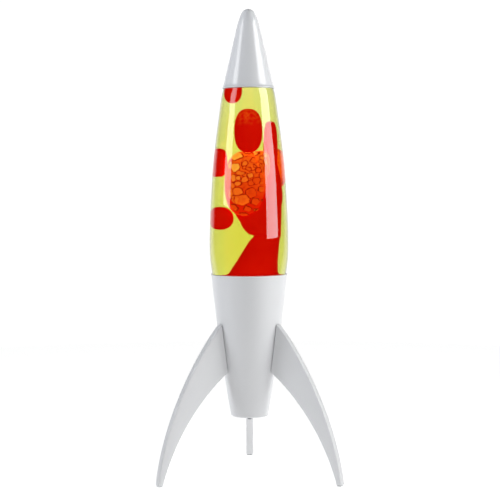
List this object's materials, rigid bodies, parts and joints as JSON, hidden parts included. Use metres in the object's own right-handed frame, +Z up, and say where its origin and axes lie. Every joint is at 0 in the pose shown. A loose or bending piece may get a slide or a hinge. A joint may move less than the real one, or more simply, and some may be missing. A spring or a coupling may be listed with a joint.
{
  "type": "lava lamp",
  "caption": "Rocket-shaped lava lamp: a lift-off nose cap, a glass bottle of liquid and wax that lifts out, and a cone base with a bulb on curved fins.",
  "frame": {"origin": "middle of the bounding box on the surface that the lamp stands on; the lamp's axis is at x = 0, y = -0.0290 m", "axes": "+Z up along the lamp's axis; -Y towards the gap between the two front fins; +Y along the rear fin"},
  "size_m": [0.216, 0.1875, 0.5501],
  "materials": {
    "gloss_white_paint": "high-gloss white lacquer on spun aluminium",
    "satin_white_paint": "satin white powder coat",
    "bottle_glass": "clear polished glass",
    "yellow_liquid": "clear bright yellow liquid",
    "red_wax": "smooth molten red wax",
    "wax_foam": "translucent orange wax bubbles",
    "spring_steel": "plain rolled steel",
    "zinc_plate": "bright zinc plate",
    "seat_aluminium": "turned aluminium",
    "cap_liner": "soft sealing plastic",
    "black_nylon": "moulded black nylon",
    "bakelite": "moulded black bakelite",
    "ceramic": "glazed cream ceramic",
    "brass": "rolled brass",
    "bulb_glass": "frosted reflector bulb glass",
    "foot_pad": "translucent soft pad"
  },
  "bodies": {
    "base": {"bottle_seat": "seat_aluminium", "base_shell": "satin_white_paint", "bottom_plate": "spring_steel", "tube_nut_lower": "zinc_plate", "tube_nut_upper": "zinc_plate", "entry_tube": "zinc_plate", "cord_inlet": "black_nylon", "lampholder": "bakelite", "contact_block": "ceramic", "screw_sleeve": "brass", "fin_right": "satin_white_paint", "foot_pad_right": "foot_pad", "fin_screw_right_upper": "zinc_plate", "fin_screw_right_lower": "zinc_plate", "fin_left": "satin_white_paint", "foot_pad_left": "foot_pad", "fin_screw_left_upper": "zinc_plate", "fin_screw_left_lower": "zinc_plate", "fin_rear": "satin_white_paint", "foot_pad_rear": "foot_pad", "fin_screw_rear_upper": "zinc_plate", "fin_screw_rear_lower": "zinc_plate", "plate_screw_1": "zinc_plate", "plate_screw_2": "zinc_plate", "plate_screw_3": "zinc_plate"},
    "bottle": {"bottle": "bottle_glass", "crown_cap": "zinc_plate", "crown_liner": "cap_liner", "liquid": "yellow_liquid", "wax_column": "red_wax", "wax_foam": "wax_foam", "heat_coil": "spring_steel"},
    "cap": {"nose_cap": "gloss_white_paint"},
    "bulb": {"bulb_base": "brass", "bulb_glass": "bulb_glass", "bulb_stem": "bulb_glass"},
    "blob_top": {"wax_blob_top": "red_wax"},
    "blob_middle": {"wax_blob_middle": "red_wax"},
    "blob_left": {"wax_blob_left": "red_wax"},
    "blob_low": {"wax_blob_low": "red_wax"}
  },
  "joints": [
    {"name": "bottle_lift", "type": "slide", "parent": "base", "child": "bottle", "axis": [0, 0, 1], "range_m": [0, 0.06]},
    {"name": "cap_lift", "type": "slide", "parent": "bottle", "child": "cap", "axis": [0, 0, 1], "range_m": [0, 0.06]},
    {"name": "bulb_turn", "type": "hinge", "parent": "base", "child": "bulb", "pos_m": [0, -0.02905, 0.112], "axis": [0, 0, 1], "range_deg": [0, 1260]},
    {"name": "top_drift", "type": "slide", "parent": "bottle", "child": "blob_top", "axis": [0.2424, 0.0388, 0.9694], "range_m": [-0.018, 0], "deforming": ["liquid"]},
    {"name": "middle_drift", "type": "slide", "parent": "bottle", "child": "blob_middle", "axis": [0, 0.0499, 0.9988], "range_m": [0, 0.018], "deforming": ["liquid"]},
    {"name": "left_drift", "type": "slide", "parent": "bottle", "child": "blob_left", "axis": [0.0896, -0.0199, 0.9958], "range_m": [-0.03, 0.04], "deforming": ["liquid"]},
    {"name": "low_drift", "type": "slide", "parent": "bottle", "child": "blob_low", "axis": [0, 0, 1], "range_m": [-0.04, 0], "deforming": ["liquid"]}
  ]
}
